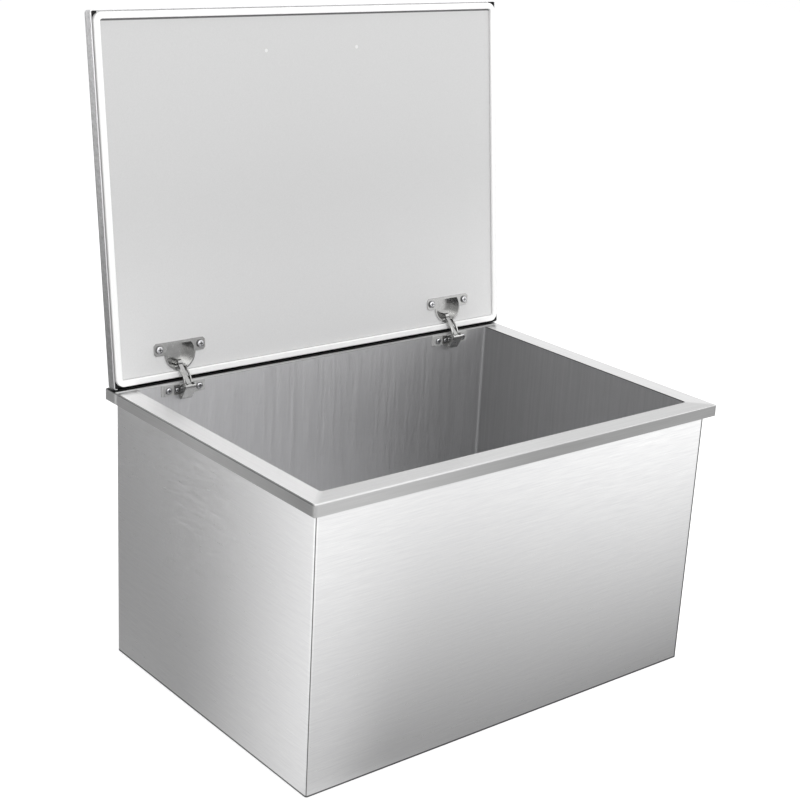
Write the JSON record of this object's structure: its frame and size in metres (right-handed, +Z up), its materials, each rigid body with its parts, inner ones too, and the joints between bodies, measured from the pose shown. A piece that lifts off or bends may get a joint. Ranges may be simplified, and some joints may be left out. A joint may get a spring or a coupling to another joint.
{
  "type": "drop-in ice bin",
  "caption": "Insulated stainless bin that drops into a worktop, with a rim flange, a drained well, and a lid on concealed linkage hinges that stands open.",
  "frame": {"origin": "centre of the base pan's underside", "axes": "+X to the right as seen by the person at the front, +Y to the back where the lid is hinged, +Z up"},
  "size_m": [0.508, 0.4299, 0.6556],
  "materials": {
    "rim_steel": "satin stainless, mitred at the corners",
    "liner_steel": "matt stainless",
    "casing_steel": "stainless with a fine lengthwise grain",
    "base_steel": "mill finish steel",
    "backing_steel": "zinc-plated steel",
    "insulation_foam": "rigid foam",
    "drain_steel": "turned stainless",
    "drain_rubber": "black rubber",
    "drain_nut_steel": "plain brass",
    "plug_rubber": "moulded black rubber",
    "lid_steel": "brushed stainless",
    "panel_steel": "matt stainless",
    "seal_rubber": "white silicone",
    "handle_steel": "polished stainless bar",
    "screw_steel": "stainless screws",
    "hinge_steel": "nickel-plated steel",
    "pin_steel": "plain steel rivets"
  },
  "bodies": {
    "bin": {"rim_frame": "rim_steel", "well_liner": "liner_steel", "outer_casing": "casing_steel", "base_pan": "base_steel", "wall_backing_plates": "backing_steel", "body_foam": "insulation_foam", "drain_body": "drain_steel", "drain_gasket": "drain_rubber", "drain_washer": "drain_rubber", "drain_nut": "drain_nut_steel", "wing_screws": "screw_steel", "arm_screws": "screw_steel", "left_wing_plate": "hinge_steel", "right_wing_plate": "hinge_steel", "left_hinge_arm": "hinge_steel", "right_hinge_arm": "hinge_steel", "arm_pins": "pin_steel"},
    "left_outer_link": {"left_outer_link": "hinge_steel"},
    "right_outer_link": {"right_outer_link": "hinge_steel"},
    "left_inner_link": {"left_inner_link": "hinge_steel"},
    "right_inner_link": {"right_inner_link": "hinge_steel"},
    "lid": {"lid_shell": "lid_steel", "lid_panel": "panel_steel", "lid_seal": "seal_rubber", "lid_backing_plates": "backing_steel", "lid_foam": "insulation_foam", "handle_bar": "handle_steel", "handle_washers": "handle_steel", "handle_screws": "screw_steel", "cup_screws": "screw_steel", "cup_pins": "pin_steel", "left_hinge_cup": "hinge_steel", "right_hinge_cup": "hinge_steel"},
    "drain_plug": {"drain_plug": "plug_rubber"}
  },
  "joints": [
    {"name": "left_outer_link_swing", "type": "hinge", "parent": "bin", "child": "left_outer_link", "pos_m": [-0.1776, 0.1507, 0.2769], "axis": [1, 0, 0], "range_deg": [-29, 0]},
    {"name": "lid_swing", "type": "hinge", "parent": "left_outer_link", "child": "lid", "pos_m": [-0.1776, 0.16273, 0.30433], "axis": [1, 0, 0], "range_deg": [0, 125.58]},
    {"name": "right_outer_link_swing", "type": "hinge", "parent": "bin", "child": "right_outer_link", "pos_m": [0.1776, 0.1507, 0.2769], "axis": [1, 0, 0], "range_deg": [-29, 0]},
    {"name": "left_inner_link_swing", "type": "hinge", "parent": "bin", "child": "left_inner_link", "pos_m": [-0.1776, 0.14385, 0.2887], "axis": [1, 0, 0], "range_deg": [-24.2, 0]},
    {"name": "right_inner_link_swing", "type": "hinge", "parent": "bin", "child": "right_inner_link", "pos_m": [0.1776, 0.14385, 0.2887], "axis": [1, 0, 0], "range_deg": [-24.2, 0]},
    {"name": "drain_plug_lift", "type": "slide", "parent": "bin", "child": "drain_plug", "axis": [0, 0, 1], "range_m": [0, 0.06]}
  ],
  "couplings": [
    {"joint": "left_outer_link_swing", "follows": "lid_swing", "ratio": -0.23077},
    {"joint": "right_outer_link_swing", "follows": "lid_swing", "ratio": -0.23077},
    {"joint": "left_inner_link_swing", "follows": "lid_swing", "ratio": -0.19231},
    {"joint": "right_inner_link_swing", "follows": "lid_swing", "ratio": -0.19231}
  ]
}
